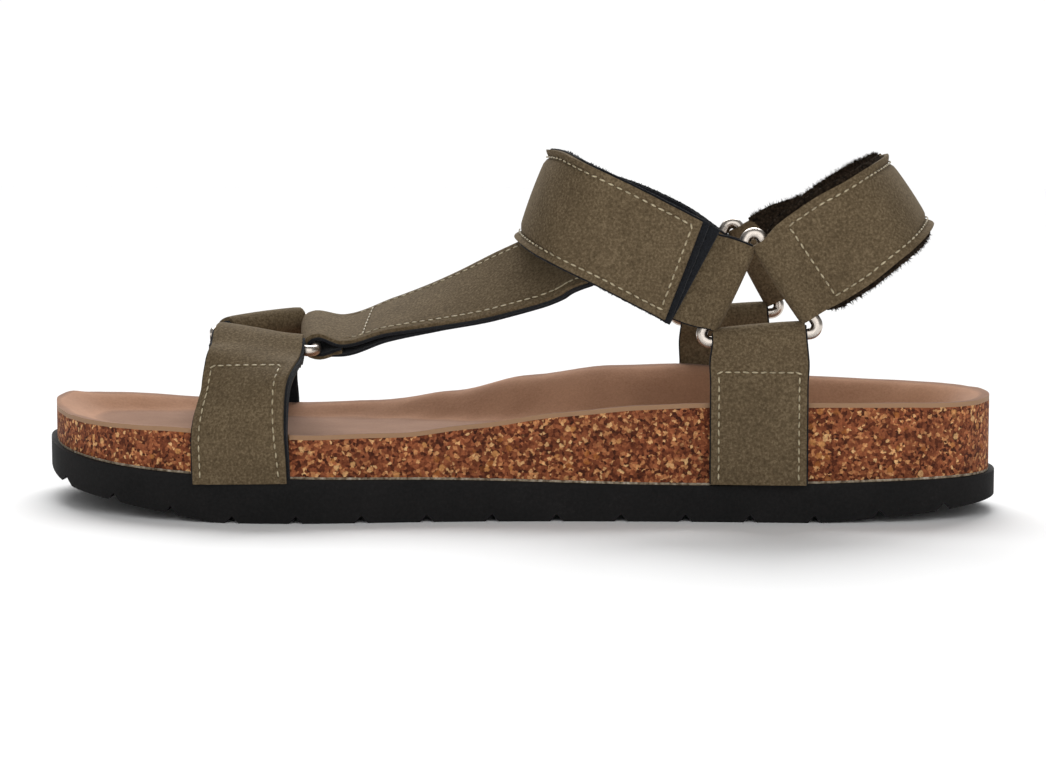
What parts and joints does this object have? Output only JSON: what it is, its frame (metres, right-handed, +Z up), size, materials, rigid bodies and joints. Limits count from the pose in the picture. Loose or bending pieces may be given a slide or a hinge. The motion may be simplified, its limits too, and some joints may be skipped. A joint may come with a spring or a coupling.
{
  "type": "strappy sport sandal",
  "caption": "Left sandal: cork footbed on a treaded sole, nubuck straps that meet at triangular wire rings, and hook-and-loop closures at toe, ankle and heel.",
  "frame": {"origin": "on the ground, under the middle of the sole", "axes": "+X towards the heel, +Y towards the inner side of the foot, +Z up"},
  "size_m": [0.265, 0.0983, 0.0979],
  "materials": {
    "outsole_eva": "matte black foam rubber",
    "cork": "granulated cork, sealed, satin",
    "jute": "woven jute cloth",
    "footbed_suede": "suede, matte",
    "olive_nubuck": "nubuck, matte",
    "black_lining": "brushed loop fabric, matte",
    "pile_lining": "fluffy loop pile",
    "hook_tape": "hook tape",
    "nickel_wire": "brushed nickel"
  },
  "bodies": {
    "root": {"ankle_anchor_lining": "black_lining", "ankle_anchor_tab": "olive_nubuck", "ankle_hook_patch": "hook_tape", "ankle_strap": "olive_nubuck", "ankle_strap_lining": "black_lining", "cork_body": "cork", "footbed_liner": "footbed_suede", "front_lateral_strap": "olive_nubuck", "front_lateral_strap_lining": "black_lining", "front_ring": "nickel_wire", "heel_loop_lateral": "olive_nubuck", "heel_loop_lateral_lining": "black_lining", "heel_loop_medial": "olive_nubuck", "heel_loop_medial_lining": "black_lining", "instep_strap": "olive_nubuck", "instep_strap_lining": "black_lining", "jute_backing": "jute", "lateral_ring": "nickel_wire", "lateral_side_strap": "olive_nubuck", "lateral_side_strap_lining": "black_lining", "medial_ring": "nickel_wire", "medial_side_strap": "olive_nubuck", "medial_side_strap_lining": "black_lining", "outsole": "outsole_eva", "toe_strap": "olive_nubuck", "toe_strap_lining": "black_lining"},
    "ankle_flap": {"ankle_flap": "olive_nubuck", "ankle_flap_lining": "black_lining"},
    "heel_strap": {"heel_strap": "olive_nubuck", "heel_strap_lining": "pile_lining"},
    "toe_tab": {"toe_tab": "olive_nubuck", "toe_tab_hook_patch": "hook_tape"},
    "heel_tab": {"heel_tab": "olive_nubuck", "heel_tab_hook_patch": "hook_tape"}
  },
  "joints": [
    {"name": "ankle_strap_open", "type": "hinge", "parent": "root", "child": "ankle_flap", "pos_m": [0.0107, -0.028, 0.0831], "axis": [-0.3256, 0, -0.9455], "range_deg": [0, 100]},
    {"name": "heel_strap_swing", "type": "hinge", "parent": "root", "child": "heel_strap", "pos_m": [0.08378, 0, 0.06981], "axis": [0, 1, 0], "range_deg": [-10, 50]},
    {"name": "heel_tab_open", "type": "hinge", "parent": "heel_strap", "child": "heel_tab", "pos_m": [0.09686, 0.03557, 0.07909], "axis": [-0.5592, 0, 0.829], "range_deg": [0, 110]},
    {"name": "toe_tab_open", "type": "hinge", "parent": "root", "child": "toe_tab", "pos_m": [-0.07431, 0.01839, 0.04774], "axis": [0.8479, 0.5258, 0.0679], "range_deg": [0, 110]}
  ]
}
